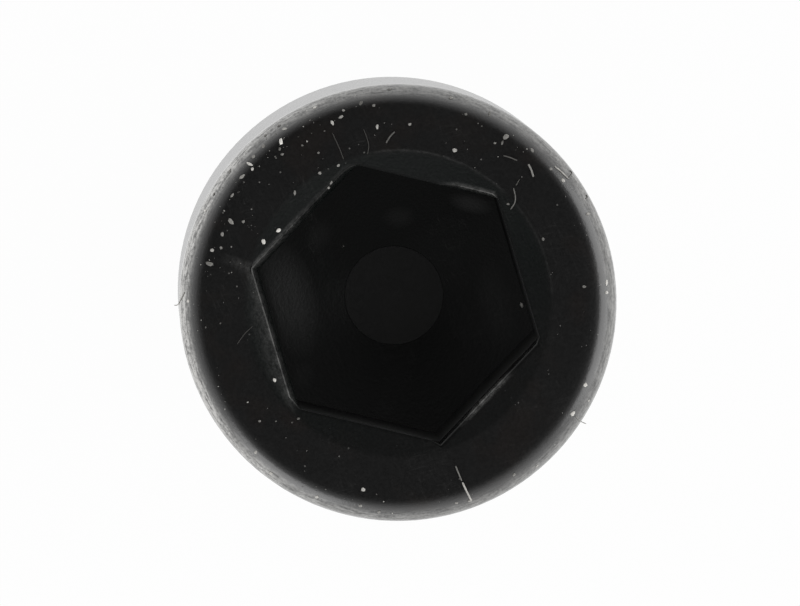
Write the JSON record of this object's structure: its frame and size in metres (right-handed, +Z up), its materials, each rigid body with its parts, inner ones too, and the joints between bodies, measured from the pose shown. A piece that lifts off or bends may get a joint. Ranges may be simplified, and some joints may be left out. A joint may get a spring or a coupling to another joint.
{
  "type": "socket head cap screw",
  "caption": "Round, smooth-sided head with a hexagon socket and a rounded top edge, on a short shank threaded almost to the head, with a chamfered flat end.",
  "frame": {"origin": "centre of the flat end face, which the screw stands on", "axes": "+Z up the screw's axis from the end face to the head; two flats of the hexagon socket face +Y and -Y"},
  "size_m": [0.0178, 0.0178, 0.0419],
  "materials": {
    "black_oxide_steel": "black oxide on alloy steel, satin, with burnished edges, fine scratches and dust"
  },
  "bodies": {
    "root": {"cap_screw": "black_oxide_steel"}
  },
  "joints": []
}
